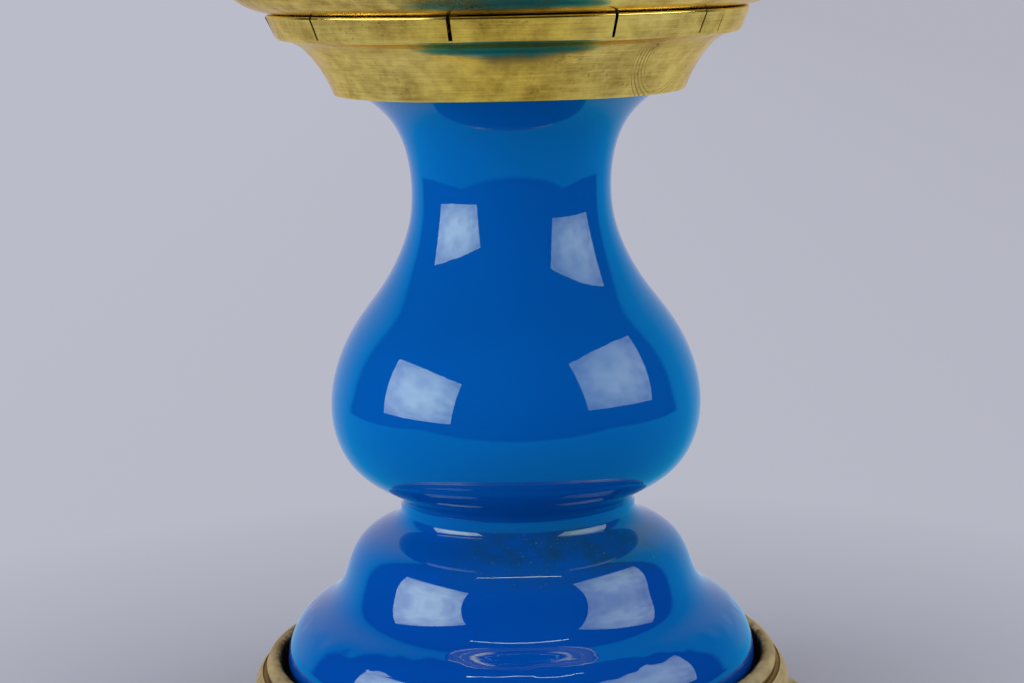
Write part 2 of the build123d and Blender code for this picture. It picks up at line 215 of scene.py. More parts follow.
def hollows(profile, reach=1.6):
    """How deep each point of a closed profile lies in a hollow, or, if negative, how far it
    stands out on an edge: the mean of the profile within reach of the point, less the point,
    along the outward normal, in reaches."""
    lap = np.vstack([profile, profile, profile, profile[:1]])
    step = np.hypot(*np.diff(lap, axis=0).T)
    length = np.r_[0, np.cumsum(step)]
    total = np.vstack([[0, 0], np.cumsum(step[:, None] * (lap[1:] + lap[:-1]) / 2, axis=0)])
    ways = [np.interp(length + side * reach, length, total[:, axis])
            for axis in (0, 1) for side in (1, -1)]
    mean = np.stack([ways[0] - ways[1], ways[2] - ways[3]], axis=1) / (2 * reach)
    ahead = np.gradient(lap, axis=0)
    outward = np.stack([ahead[:, 1], -ahead[:, 0]], axis=1) / np.hypot(*ahead.T)[:, None]
    area = lap[:-1, 0] @ lap[1:, 1] - lap[:-1, 1] @ lap[1:, 0]
    depth = ((mean - lap) * outward).sum(axis=1) / reach * np.sign(area)
    return depth[len(profile):2 * len(profile)]


def closed_sheet(grid, kind):
    """Points and faces of a closed grid. A "ring" has its last row joined to its first, and
    "poles" has its first and last rows drawn together into one point each. The faces are
    turned round if the volume inside, a sixth of the sum of a . (b x c), is negative."""
    tops = grid[[0, -1]].mean(axis=1)
    if kind == "poles":
        grid = grid[1:-1]
    rows, columns = grid.shape[:2]
    points = grid.reshape(-1, 3)
    groups = [grid_faces(rows, columns, kind == "ring")]
    if kind == "poles":
        here, count = np.arange(columns), len(points)
        after = (here + 1) % columns
        last = (rows - 1) * columns
        groups.append(np.stack([0 * here + count, after, here], axis=1))
        groups.append(np.stack([0 * here + count + 1, here + last, after + last], axis=1))
        points = np.vstack([points, tops])
    triangles = np.concatenate([groups[0][:, :3], groups[0][:, [0, 2, 3]], *groups[1:]])
    a, b, c = np.moveaxis(points[triangles], 1, 0)
    if np.einsum("ij,ij->", a, np.cross(b, c)) < 0:
        groups = [faces[:, ::-1] for faces in groups]
    return points, groups


def placed(name, data):
    """A new object in the scene."""
    made = bpy.data.objects.new(name, data)
    bpy.context.scene.collection.objects.link(made)
    return made


def skin(name, *sheets):
    """Mesh object from closed grids, each given with its kind, and if it has hollows with
    their depth in each row."""
    points, loops, sizes, depths, count = [], [], [], [], 0
    for grid, kind, *rows in sheets:
        where, groups = closed_sheet(grid, kind)
        points.append(where)
        depth = np.repeat(rows[0] if rows else np.zeros(len(grid)), grid.shape[1])
        depths.append(np.r_[depth, 0, 0][:len(where)])
        loops += [(faces + count).ravel() for faces in groups]
        sizes += [np.full(len(faces), faces.shape[1]) for faces in groups]
        count += len(where)
    points, loops, sizes, depths = (np.concatenate(x) for x in (points, loops, sizes, depths))
    mesh = bpy.data.meshes.new(name)
    mesh.vertices.add(len(points))
    mesh.vertices.foreach_set("co", points.astype(np.float32).ravel())
    mesh.loops.add(len(loops))
    mesh.loops.foreach_set("vertex_index", loops.astype(np.int32))
    mesh.polygons.add(len(sizes))
    mesh.polygons.foreach_set("loop_start", (np.cumsum(sizes) - sizes).astype(np.int32))
    mesh.update(calc_edges=True)
    mesh.attributes.new("hollow", "FLOAT", "POINT").data.foreach_set("value", depths)
    mesh.shade_smooth()
    mesh.set_sharp_from_angle(angle=SHARP)
    return placed(name, mesh)


def span(node):
    """Outer radius and lowest and highest point of a CAD node, in millimetres."""
    low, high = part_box(node)
    return (high.y - low.y) / 2 / MM, low.z / MM, high.z / MM


def fitted(piece, node, material):
    """The piece stands for its CAD node: it must lie within 1.2 mm of the node's box, takes the
    material, joins the node's body, and the node is hidden.
    """
    low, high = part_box(node)
    corners = np.array([list(corner) for corner in piece.bound_box])
    stray = max(np.abs(corners.min(0) - low).max(), np.abs(corners.max(0) - high).max())
    if stray > 1.2 * MM:
        raise ValueError(f"{piece.name} is {stray / MM:.2f} mm off {node}")
    piece.data.materials.append(material)
    record = frame["record"]
    body = next(name for name, nodes in record["behaviour"]["bodies"].items() if node in nodes)
    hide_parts(node)
    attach(piece, body)


def finished(material, *nodes):
    """CAD nodes whose shape is already right take a material."""
    for name in nodes:
        NODES[name].data.materials.clear()
        NODES[name].data.materials.append(material)


# ---- materials

def linear(hexa):
    """The linear colour of an sRGB hex value such as "C9A24B"."""
    srgb = np.array([int(hexa[i:i + 2], 16) for i in (0, 2, 4)]) / 255
    value = np.where(srgb <= 0.04045, srgb / 12.92, ((srgb + 0.055) / 1.055) ** 2.4)
    return (*value, 1.0)


def add_node(tree, kind, sockets=(), out=0, **settings):
    """Adds a node with its settings and links, and gives back one of its outputs. The kind may
    be followed by the node's operation, and one in capitals is an operation of a Math node.
    The sockets are a list in order, or a dictionary by name or number, of values and other
    outputs. A noise has place, w, scale, detail and roughness in that order, and a Mix has
    its factor and two colours."""
    kind, *operation = ["Math", kind] if kind.isupper() else kind.split()
    node = tree.nodes.new("ShaderNode" + kind)
    if operation:
        node.operation = operation[0]
    if kind == "Mix":
        node.data_type, out, sockets = "RGBA", 2, dict(zip((0, 6, 7), sockets))
    for name, value in settings.items():
        setattr(node, name, value)
    for key, value in sockets.items() if isinstance(sockets, dict) else enumerate(sockets):
        if isinstance(value, bpy.types.NodeSocket):
            tree.links.new(value, node.inputs[key])
        else:
            node.inputs[key].default_value = value
    return node.outputs[out] if node.outputs else node


def emptied(owner):
    """Empties the node tree of a material, world or lamp, and gives back what adds to it."""
    owner.use_nodes = True
    owner.node_tree.nodes.clear()
    return partial(add_node, owner.node_tree)


def started(name):
    """An empty material, what adds nodes to it, and Object coordinates."""
    material = bpy.data.materials.new(name)
    add = emptied(material)
    return material, add, add("TexCoord", out="Object")


def round_axis(add, place, girth):
    """Coordinates of something turned, in metres: radius, distance round at girth metres to a
    radian, and height. Also the azimuth from the front towards +x, and the height alone."""
    axes = add("SeparateXYZ", [place]).node.outputs
    x_y = add("CombineXYZ", [axes[0], axes[1]])
    radius = add("VectorMath LENGTH", [x_y], out="Value")
    azimuth = add("ARCTAN2", [axes[0], add("MULTIPLY", [axes[1], -1.0])])
    way_round = add("MULTIPLY", [azimuth, girth])
    return add("CombineXYZ", [radius, way_round, axes[2]]), azimuth, axes[2]


def finish_material(add, bump=None, **sockets):
    """Principled shader with these sockets, wired to the output. A bump is given as its
    height, its strength and its depth in millimetres."""
    named = {name.replace("_", " "): value for name, value in sockets.items()}
    if bump:
        named["Normal"] = add("Bump", {"Height": bump[0], "Strength": bump[1],
                                       "Distance": bump[2] * MM})
    add("OutputMaterial", [add("BsdfPrincipled", named)])


# ---- finishes of this lamp

def opaline_glass(colours):
    """Blue opaline: lead glass made opaque with bone ash, blown into a mould and
    fire-polished. The eye gets a deep blue under a sharp gloss, which bends over faint
    waves, with painted shade that darkens the blue towards the foot, and dull dust, painted
    dark as shade, where the shoulder of the foot turns in to the waist."""
    material, add, place = started("blue_opaline_glass")
    turned_at, azimuth, height = round_axis(add, place, 0.03)
    cloud = add("TexNoise", [place, 0, 1 / 0.04, 2.0])
    # Painted shade: the blue is darkened towards the foot, where less light falls, and lightened
    # up the bulb.
    lit_higher = add("MapRange", [height, 0.035, 0.085])
    pale = add("MULTIPLY_ADD", [cloud, 0.6, add("MULTIPLY_ADD", [lit_higher, 0.7, -0.3])])
    blue = add("Mix", [add("MapRange", [pale, 0.0, 0.7]), colours.glass_shaded_foot, colours.glass_lit_bulb])
    # Dust, darkened with painted shade in the turn of the waist: a soft dark bloom in patches of
    # 5 mm, thickest right of the front, with pale flecks of dust half a millimetre across.
    above = add("MapRange", [height, 0.0465, 0.053])
    below = add("MapRange", [height, 0.0592, 0.057])
    ledge = add("MULTIPLY", [above, below])
    side = add("MULTIPLY_ADD", [add("COSINE", [add("ADD", [azimuth, -0.45])]), 0.75, -0.05])
    patch = add("TexNoise", [place, 0, 1 / 0.005, 4.0, 0.6])
    thick = add("MULTIPLY", [patch, side])
    dust_and_shade = add("MULTIPLY", [add("MapRange", [thick, 0.14, 0.5]), ledge])
    bloom = add("Mix", [dust_and_shade, blue, colours.dust_and_shade])
    fleck = add("TexNoise", [place, 0, 1 / 0.0005, 1.0])
    flecks = add("MULTIPLY", [add("MapRange", [fleck, 0.69, 0.76, 0.0, 0.8]), dust_and_shade])
    soiled = add("Mix", [flecks, bloom, linear("5F9A90")])
    # Ash specks half a millimetre across, in one cell of seven of an 18 mm pattern.
    cells = {"Vector": place, "Scale": 1 / 0.018}
    chance = add("SeparateColor", [add("TexVoronoi", cells, out="Color")])
    near = add("MapRange", [add("TexVoronoi", cells), 0.022, 0.012])
    speck = add("MULTIPLY", [add("MapRange", [chance, 0.85, 0.88]), near])
    colour = add("Mix", [speck, soiled, linear("0A1A3A")])
    # Fire-polished glass reflects as a mirror does, except under the dust.
    rough = add("MapRange", [dust_and_shade, 0.8, 1.0, 0.0, 0.1])
    # Waves of the blowing, 22 mm long, and the raised line left by the mould's joint.
    wave = add("TexNoise", [turned_at, 0, 1 / 0.022, 1.0])
    joint = add("SMOOTH_MIN", [add("ABSOLUTE", [azimuth]), 0.012, 6.0])
    line = add("MapRange", [joint, 0.012, 0.0, 0.0, 0.1])
    # Faint rings 1.2 mm apart, where the glass turned against the wet mould.
    rings_at, _, _ = round_axis(add, place, 0.003)
    rings = add("TexNoise", [rings_at, 0, 1 / 0.0012, 2.0])
    ringed = add("MULTIPLY_ADD", [rings, 0.03, wave])
    # Chill marks 7 mm long, in the turn above the foot's rim, where the mould was cold.
    chill = add("TexNoise", [place, 0, 1 / 0.007, 1.0])
    turned_in = add("MULTIPLY", [add("MapRange", [height, 0.0313, 0.033]),
                                      add("MapRange", [height, 0.0355, 0.0335])])
    chilled = add("MULTIPLY", [add("SUBTRACT", [chill, 0.5]), turned_in])
    marked = add("MULTIPLY_ADD", [chilled, 3.5, line])
    raised = add("ADD", [ringed, marked])
    finish_material(add, bump=(raised, 0.35, 0.35), Base_Color=colour, Roughness=rough, IOR=1.7,
                    Specular_Tint=(0.64, 0.82, 0.64, 1.0))
    return material


def turned_brass(name, bright, dull, stain, line_gap, roughness, grime=(0.0, -0.001)):
    """Brass spun, cast or turned, then rubbed up with metal polish for a century. The eye
    gets a yellow metal with fine marks running round it, brown in its hollows and paler on
    its edges, duller in patches, and with specks of old tarnish. Lines of the lathe are
    really 0.1 mm apart, and are drawn at line_gap so that they show. Grime lies between the
    two radii that grime gives, where a polishing rag does not reach."""
    material, add, place = started(name)
    turned_at, _, height = round_axis(add, place, 4 * line_gap * MM)
    lines = add("TexNoise", [turned_at, 0, 1 / (line_gap * MM), 3.0, 0.6])
    patch = add("TexNoise", [place, 0, 1 / 0.026, 4.0, 0.6])
    mottle = add("TexNoise", [place, 0, 1 / 0.0045, 4.0, 0.65])
    some = add("MULTIPLY_ADD", [patch, 0.7, add("MULTIPLY", [mottle, 0.5])])
    shade = add("MULTIPLY_ADD", [lines, 0.3, some])
    metal = add("Mix", [add("MapRange", [shade, 0.6, 0.88]), dull, bright])
    # Tarnish sits in the hollows, and in 1 mm specks where the patches are dull.
    hollow = add("Attribute", out="Fac", attribute_name="hollow")
    uneven = add("MULTIPLY_ADD", [mottle, 0.16, hollow])
    sunk = add("MapRange", [uneven, 0.11, 0.32, 0.0, 0.85])
    grain = add("TexNoise", [place, 0, 1 / 0.0011, 2.0, 0.6])
    specks = add("MULTIPLY", [add("MapRange", [grain, 0.6, 0.7, 0.0, 0.7]),
                                   add("MapRange", [patch, 0.52, 0.4])])
    radius = add("SeparateXYZ", [turned_at])
    unrubbed = add("MULTIPLY", [add("MapRange", [radius, grime[0], grime[1]]),
                                     add("MapRange", [mottle, 0.4, 0.56, 0.25, 0.95])])
    brown = add("Mix", [add("MAXIMUM", [sunk, specks]), metal, stain])
    edge = add("MapRange", [hollow, -0.1, -0.3, 0.0, 0.6])
    edged = add("Mix", [edge, brown, bright])
    # Arcs 0.9 mm apart, which a gritty rag left right of the front.
    girth_at, _, _ = round_axis(add, place, 0.045)
    turn = add("Mapping", {"Vector": girth_at, "Scale": (0.0, 1.0, 1.0)})
    reach = add("VectorMath DISTANCE", [turn, (0.0, 0.0408, 0.16)], out="Value")
    off = add("ABSOLUTE", [add("ADD", [reach, -0.01])])
    arcs = add("SINE", [add("MULTIPLY", [reach, 2 * pi / 0.0009])])
    strokes = add("MULTIPLY", [add("MapRange", [arcs, 0.2, 1.0, 0.0, 0.7]),
                                    add("MapRange", [off, 0.003, 0.0015])])
    below_band = add("MapRange", [height, 0.164, 0.163])
    uneven_arcs = add("MULTIPLY", [add("MapRange", [mottle, 0.4, 0.58]), below_band])
    scratched = add("MULTIPLY", [strokes, uneven_arcs])
    tarnish = add("MAXIMUM", [unrubbed, scratched])
    colour = add("Mix", [tarnish, edged, stain])
    worn = add("MapRange", [shade, 0.6, 0.9, roughness + 0.1, roughness - 0.05])
    rough = add("MULTIPLY_ADD", [tarnish, 0.2, worn])
    dents = add("TexNoise", [place, 0, 1 / 0.012, 1.0])
    raised = add("MULTIPLY_ADD", [dents, 16.0, lines])
    finish_material(add, bump=(raised, 0.25, 0.05), Base_Color=colour, Roughness=rough,
                    Metallic=1.0, Specular_Tint=(1.0, 0.86, 0.62, 1.0))
    return material


def spun_brass(colours):
    """The collar's and the font's bright brass, one material for both."""
    return bpy.data.materials.get("polished_spun_brass") or turned_brass(
        "polished_spun_brass", colours.brass_bright, colours.brass_dull, colours.brass_stain,
        0.4, 0.19)


def felt(name, light, dark):
    """Pressed wool felt: no weave, a matt nap of short crossed hairs 0.4 mm apart, with a
    soft sheen."""
    material, add, place = started(name)
    hairs = add("TexNoise", [place, 0, 1 / 0.0004, 4.0, 0.75])
    colour = add("Mix", [add("MapRange", [hairs, 0.3, 0.7]), linear(dark), linear(light)])
    finish_material(add, bump=(hairs, 0.8, 0.3), Base_Color=colour, Roughness=0.95,
                    Sheen_Weight=0.4, Sheen_Roughness=0.5)
    return material


def cast_iron():
    """Sand-cast grey iron, unpainted: dark, with the 1 mm grain of the mould and rust."""
    material, add, place = started("cast_iron")
    grain = add("TexNoise", [place, 0, 1 / 0.0011, 5.0, 0.7])
    bloom = add("TexNoise", [place, 0, 1 / 0.014, 4.0])
    colour = add("Mix", [add("MapRange", [bloom, 0.52, 0.66]), linear("55534F"), linear("5E3F2A")])
    finish_material(add, bump=(grain, 0.7, 0.3), Base_Color=colour, Metallic=0.85,
                    Roughness=add("MapRange", [grain, 0.3, 0.7, 0.5, 0.75]))
    return material


def drawn_steel():
    """Drawn steel rod and turned nuts, unplated: grey, gone brown in patches of 6 mm."""
    material, add, place = started("drawn_steel")
    bloom = add("TexNoise", [place, 0, 1 / 0.006, 4.0])
    colour = add("Mix", [add("MapRange", [bloom, 0.42, 0.7]), linear("A9A6A0"), linear("7B6F60")])
    finish_material(add, Base_Color=colour, Metallic=1.0,
                    Roughness=add("MapRange", [bloom, 0.3, 0.7, 0.26, 0.45]))
    return material


def cotton(girth, char_height):
    """Plaited cotton lamp wick: ribs of soft yarn 1 mm apart run up it, crossed by a 0.7 mm
    weft, and its top edge is charred in an uneven line."""
    material, add, place = started("cotton_wick")
    _, azimuth, height = round_axis(add, place, girth)
    ribs = add("SINE", [add("MULTIPLY", [azimuth, girth * 2 * pi / 0.001])])
    weft = add("SINE", [add("MULTIPLY", [height, 2 * pi / 0.0007])])
    weave = add("MULTIPLY_ADD", [weft, 0.6, ribs])
    yarn = add("Mix", [add("MapRange", [weave, -1.2, 1.2]), linear("A79C80"), linear("E6DFC8")])
    ragged = add("TexNoise", [place, 0, 1 / 0.0012, 3.0])
    line = add("MULTIPLY_ADD", [ragged, 0.003, height])
    burnt = add("MapRange", [line, char_height, char_height + 0.003])
    colour = add("Mix", [burnt, yarn, linear("2A211A")])
    finish_material(add, bump=(weave, 0.8, 0.3), Base_Color=colour, Roughness=0.9,
                    Sheen_Weight=0.3)
    return material


def lamp_glass():
    """Soda-lime lamp glass, blown and tooled: colourless and clear, with 25 mm waves."""
    material, add, place = started("clear_lamp_glass")
    wave = add("TexNoise", [place, 0, 1 / 0.025, 1.0])
    finish_material(add, bump=(wave, 0.15, 0.4), Base_Color=linear("FBFDFC"), Roughness=0.0,
                    Transmission_Weight=1.0, IOR=1.5)
    return material


# ---- pieces

def blown_glass(wave_depth):
    """Glass body: tiered foot, waist and bulb outside and a plainer wall inside, turned. The
    radius then gains wave_depth cos(2a) and half as much sin(3a + h / 11), held back at both
    ends, as glass leaves the blowpipe a little out of round."""
    _, low, _ = span("glass_body")
    foot = spline([(50.9, 0), (52.6, 5.5), (53.0, 10.5), (51.8, 14.8), (47.9, 20.0),
                   (42.3, 24.0), (39.7, 28.0), (38.1, 32.5), (35.8, 36.3), (30.8, 39.7),
                   (26.4, 43.4)], (0.4, 1), (-0.25, 1), 96)
    bulb = spline([(26.4, 45.9), (32.0, 50.2), (37.1, 54.4), (40.5, 61.0), (41.35, 68.0),
                   (39.5, 77.5), (35.2, 86.0), (29.3, 94.0), (24.8, 102.0), (22.55, 109.0),
                   (22.0, 115.0), (22.85, 123.0), (25.85, 130.2), (31.2, 135.5), (36.6, 140.0)],
                  (0.55, 1), (0.9, 1), 140)
    rim = [(36.6, 142.2), (33.2, 142.2), (33.2, 140.6)]
    inside = [(20.6, 127.0), (18.8, 114.0), (20.4, 104.0), (37.9, 72.0), (35.6, 58.0),
              (23.2, 46.6), (23.2, 42.6), (33.6, 33.5), (37.0, 25.8), (48.6, 14.0), (47.6, 0)]
    profile = eased(joined(foot, bulb, rim, inside), 0.9, steps=5)
    r, h = profile.T[..., None]
    azimuth = all_round()
    free = np.clip((h - 2) / 20, 0, 1) * np.clip((138 - h) / 20, 0, 1)
    wave = np.cos(2 * azimuth + 0.7) + 0.5 * np.sin(3 * azimuth + h / 11)
    grid = lathe(r + free * wave_depth / MM * wave, low + h, azimuth)
    return skin("blown_glass", (grid, "ring", hollows(profile)))


def cast_foot():
    """Brass foot: hem bead, wide cove, ovolo, a groove and the rounded lip."""
    _, low, _ = span("foot_base")
    profile = joined(
        arc((70.8, 0), (72.0, 2.4), (70.4, 5.1)), arc((69.2, 5.6), (63.5, 7.8), (60.9, 12.6)),
        [(59.9, 12.9)], arc((60.4, 14.0), (60.7, 17.3), (59.0, 20.4)),
        arc((59.0, 20.4), (58.2, 19.8), (57.7, 20.7), 8),
        arc((57.7, 20.7), (57.7, 22.6), (56.2, 23.6)),
        arc((56.2, 23.6), (55.2, 23.5), (54.7, 22.8), 8),
        [(54.2, 12.2), (3.4, 12.2), (3.4, 10.7), (57.8, 10.7), (58.6, 7.4), (61.8, 4.0),
         (68.2, 2.8), (68.2, 0)])
    profile = dense(eased(profile, 0.4), 0.8) + (0, low)
    return skin("cast_foot", (turned(profile), "ring", hollows(profile)))


def sprung_collar(slit_width, spring):
    """Collar: its closed profile turned round, with columns set at both sides of each slit.
    In a slit every point of the band drops to the slit's floor. The fingers between have
    sprung in or out by up to spring at their tops, and differ in height by as much."""
    _, low, _ = span("font_collar")
    floor_h, top, band_r = 13.1, 17.8, 51.5
    trumpet, way = swing((38.3, 0), (0.36, 1), (44.2, 9.7), 24)
    cove, way = swing(trumpet[-1], way, (49.4, 12.3), 14)
    turn, _ = swing(cove[-1], way, (50.9, 13.5), 8)
    outline = dense(eased(joined(trumpet, cove, turn, [(52.7, top)]), 0.5, closed=False), 0.6,
                    closed=False)
    profile = walled(outline, 1.0)
    slits = np.radians([-81, -50, -13, 24, 50, 58, 104, 143, 181, 219, 248])
    share = np.array([0.5, 0.6, 1.0, 0.7, 0.5, 0.45, 0.8, 0.9, 0.8, 0.7, 0.7])
    half = share * slit_width / MM / 2 / band_r
    edge = 0.0006
    plain = all_round()[0]
    away = np.abs((plain[:, None] - slits[None] + pi) % (2 * pi) - pi)
    plain = plain[(away > half + 0.004).all(axis=1)]
    angles = np.concatenate([plain, slits - half - edge, slits - half, slits + half,
                             slits + half + edge]) % (2 * pi)
    sawn = np.repeat([0, 0, 1, 1, 0], [len(plain)] + 4 * [len(slits)]).astype(bool)
    order = np.argsort(angles)
    angles, sawn = angles[order], sawn[order]
    finger = np.searchsorted(np.sort(slits % (2 * pi)), angles) % len(slits)
    out, down = np.random.default_rng(7).uniform(-1, 1, (2, len(slits)))
    r, h = profile.T[..., None]
    rise = np.clip((h - floor_h) / (top - floor_h), 0, None)
    r = r + spring / MM * out[finger] * rise
    h = h - spring / MM * (1 + down[finger]) * rise**2
    # Points of the band are spread along the slit's floor, from its outer end to its inner.
    in_band = profile[:, 1] > floor_h
    along = np.where(in_band, np.cumsum(in_band) / (in_band.sum() + 1), 0)[:, None]
    cut = sawn[None] & in_band[:, None]
    r = np.where(cut, 50.72 - 1.0 * along, r)
    h = np.where(cut, floor_h, h)
    cup = lathe(r, low + h, angles[None] + FRONT)
    floor = eased([(3.4, 6.5), (41.0, 6.5), (41.0, 7.6), (3.4, 7.6)], 0.2) + (0, low)
    return skin("sprung_collar", (cup, "ring", hollows(profile)), (turned(floor), "ring"))


def lower_font():
    """Font's lower half: one sheet from the axis out along the pushed-up bottom, round the
    plug and the seat, up the bowl to the seam, and back inside by its thickness."""
    _, low, high = span("font_bowl")
    heel = arc((36.0, 0), (39.3, 1.0), (40.6, 3.8), 10)
    belly = arc((49.4, 8.4), (58.2, 10.8), (63.6, 17.3), 40)
    side, _ = swing(belly[-1], belly[-1] - belly[-2], (67.0, high - low), 40)
    outline = joined([(0, 5.4), (14.0, 5.4)], heel, [(40.6, 4.7), (49.4, 4.7)], belly, side)
    outline = dense(eased(outline, 1.1, closed=False), 1.6, closed=False)
    profile = walled(outline + (0, low), 0.8, from_axis=True)
    return skin("lower_font", (turned(profile), "poles", hollows(profile)))


def upper_font():
    """Font's upper half: the dome's sheet from the seam to the mouth, and the folded bead of
    the seam."""
    _, low, high = span("font_dome")
    shoulder, way = swing((67.0, 0), (0, 1), (57.0, 14.5), 40)
    crown, way = swing(shoulder[-1], way, (30.0, 23.9), 40)
    neck, _ = swing(crown[-1], way, (24.6, high - low), 16)
    profile = walled(joined(shoulder, crown, neck) + (0, low), 0.8)
    fold = eased([(66.9, 0), (67.8, 0), (67.8, 1.77), (66.9, 1.77)], 0.45) + (0, low)
    return skin("upper_font", (turned(profile), "ring", hollows(profile)), (turned(fold), "ring"))


def milled(profile, notches, depth, start, width, cut=0.0):
    """Grid of a profile turned round the axis, with rounded notches milled in its edge. They
    begin at the radius start and reach their depth a width further out. The whole then lies
    deeper by cut."""
    azimuth = all_round(FINE_COLUMNS)
    r, h = profile.T[..., None]
    deep = depth * np.clip((r - start) / width, 0, 1)
    notch = (0.5 - 0.5 * np.cos(notches * azimuth)) ** 0.7
    return lathe(r - deep * notch - cut, h, azimuth)


def font_ring():
    """Ring soldered in the font's mouth, its bead milled with 80 notches for the fingers."""
    _, low, _ = span("burner_ring")
    bead = arc((26.4, 2.6), (27.6, 5.0), (26.4, 7.4), 20)
    outline = joined([(23.6, 0), (23.75, 0), (23.75, 2.6)], bead, [(26.4, 9.8), (23.6, 9.8)])
    profile = eased(outline, 0.3, steps=4) + (0, low)
    return skin("font_ring", (milled(profile, 80, 0.35, 26.5, 0.9), "ring", hollows(profile)))


def screwed_base():
    """Burner's screwed cup and flange. The thread is a rounded groove that climbs 1.2 mm a
    turn, so its depth follows the height less the share of a turn. The flange is milled."""
    _, low, _ = span("burner_base")
    screw_r, pitch = 23.3, 1.2
    outline = [(22.0, 0), (screw_r, 0), (screw_r, 7.6), (28.3, 7.6), (28.3, 8.9), (15.33, 8.9),
               (15.33, 7.6), (22.0, 7.6)]
    profile = dense(eased(outline, 0.25, steps=4), 0.2)
    profile = profile[(profile[:, 0] > 23.2) | (np.arange(len(profile)) % 5 == 0)]
    r, h = profile.T[..., None]
    screw = (np.abs(r - screw_r) < 0.01) & (h > 0.5) & (h < 7.1)
    groove = 0.4 * (0.5 - 0.5 * np.cos(2 * pi * h / pitch - all_round(FINE_COLUMNS)))
    grid = milled(profile + (0, low), 96, 0.3, 28.0, 0.3, screw * groove)
    return skin("screwed_base", (grid, "ring", hollows(profile)))


def chimney_crown(prongs):
    """Seat ring of the gallery and its sprung prongs. A prong is a rounded rectangle carried
    along the crown's profile, up and then out. Its half width follows a circle at the tip."""
    _, low, _ = span("gallery")
    prong_r, bend_h, widest = 27.3, 10.5, 3.5
    seat = eased([(19.8, 0), (27.7, 0), (27.7, 1.0), (19.8, 1.0)], 0.3) + (0, low)
    tip, _ = swing((prong_r, bend_h), (0, 1), (29.0, 14.7), 16)
    spine = np.array([(prong_r, 0.2), (prong_r, bend_h)])
    spine = joined(dense(spine, 0.8, closed=False), tip)
    ahead = np.gradient(spine, axis=0)
    ahead /= np.hypot(*ahead.T)[:, None]
    length = np.r_[0, np.cumsum(np.hypot(*np.diff(spine, axis=0).T))]
    left = np.clip((length[-1] - length) / widest, 0, 1)
    half_width = widest * np.sqrt(1 - (1 - left) ** 2) + 0.02
    turn = np.linspace(0, 2 * pi, 28, endpoint=False)
    square = np.stack([np.cos(turn), np.sin(turn)])
    square = np.sign(square) * np.abs(square) ** 0.35
    wide = square[0] * half_width[:, None]
    thick = 0.4 * square[1] * np.clip(half_width / 0.8, 0, 1)[:, None]
    r = spine[:, 0, None] + ahead[:, 1, None] * thick
    h = spine[:, 1, None] - ahead[:, 0, None] * thick
    middles = (np.arange(prongs) + 0.5) * 2 * pi / prongs + FRONT
    blades = [(lathe(r, low + h, middle + wide / prong_r), "poles") for middle in middles]
    return skin("chimney_crown", (turned(seat), "ring"), *blades)


def milled_knob(notches):
    """Knob turned about the spindle and laid along x: hub, milled rim and dished face."""
    low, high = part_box("wick_knob")
    width = 3.4
    profile = eased([(1.53, -3.0), (3.2, -3.0), (3.2, 0), (8.5, 0), (8.5, width), (6.3, width),
                     (1.53, 2.1)], 0.45, steps=5)
    grid = milled(dense(profile, 0.6), notches, 0.75, 7.2, 1.1)
    face = np.array([high.x - width * MM, (low.y + high.y) / 2, (low.z + high.z) / 2])
    return skin("milled_knob", (grid[..., [2, 1, 0]] * (1, 1, -1) + face, "ring"))


def curled_wick():
    """Wick curled to a tube with its edges apart: a long thin rounded rectangle carried round
    the axis from one edge to the other. Ribs of yarn, 1 mm apart, stand 0.06 mm proud, and
    the top is frayed by two beating sine waves."""
    _, low, high = span("wick")
    middle, half_gap = 13.1, 5.1
    gap = np.arcsin(half_gap / middle)
    turn = np.linspace(gap, 2 * pi - gap, 360)[:, None] + FRONT
    section = dense(eased([(12.0, low), (14.2, low), (14.2, high), (12.0, high)], 0.5, steps=5),
                    0.9)
    r, h = section[None, :, 0], section[None, :, 1]
    ribs = 0.06 * np.sin(turn * middle * 2 * pi) - 0.06
    face = np.clip((r - middle) / 1.1, -1, 1)
    fray = 0.25 * np.sin(turn * 61) * np.sin(turn * 23 + 1) - 0.25
    top = np.clip((h - high + 1.2) / 1.2, 0, 1)
    return skin("curled_wick", (lathe(r + ribs * face, h + fray * top, turn), "poles"))


def lamp_chimney():
    """Chimney: straight foot, shoulder, throat and a flue that opens slightly."""
    _, low, high = span("chimney")
    shoulder, way = swing((26.6, 36.0), (0, 1), (23.0, 42.0), 20)
    throat, _ = swing(shoulder[-1], way, (17.6, 51.0), 24)
    outline = joined([(26.6, 0)], shoulder, throat, [(19.5, high - low)])
    outline = dense(eased(outline, 1.5, closed=False), 6.0, closed=False)
    profile = walled(outline + (0, low), 1.8)
    return skin("lamp_chimney", (turned(profile), "ring"))


def felt_piece(name, node, inner_r, ease):
    """Felt ring or disc cut by hand: a soft-edged rectangle turned round, its outer edge
    wandering inwards by up to 0.6 mm as sin(9a) + sin(23a)."""
    radius, low, high = span(node)
    corners = [(inner_r, low), (radius, low), (radius, high), (inner_r, high)]
    profile = dense(eased(corners, ease, closed=inner_r > 0), 2.0, closed=inner_r > 0)
    azimuth = all_round()
    r, h = profile.T[..., None]
    outer = np.clip((r - inner_r) / (radius - inner_r), 0, 1) ** 4
    wander = 0.15 * (np.sin(9 * azimuth) + np.sin(23 * azimuth + 2) - 2)
    grid = lathe(r + outer * wander, h, azimuth)
    return skin(name, (grid, "ring" if inner_r > 0 else "poles"))


# ---- settings

def colour_setting(name, hexa, description):
    return FloatVectorProperty(name=name, description=description, default=linear(hexa),
                               size=4, min=0.0, max=1.0, subtype="COLOR")


def number_setting(name, default, least, most, description, subtype="NONE", unit="NONE"):
    return FloatProperty(name=name, description=description, default=default, min=least,
                         max=most, precision=5, subtype=subtype, unit=unit)


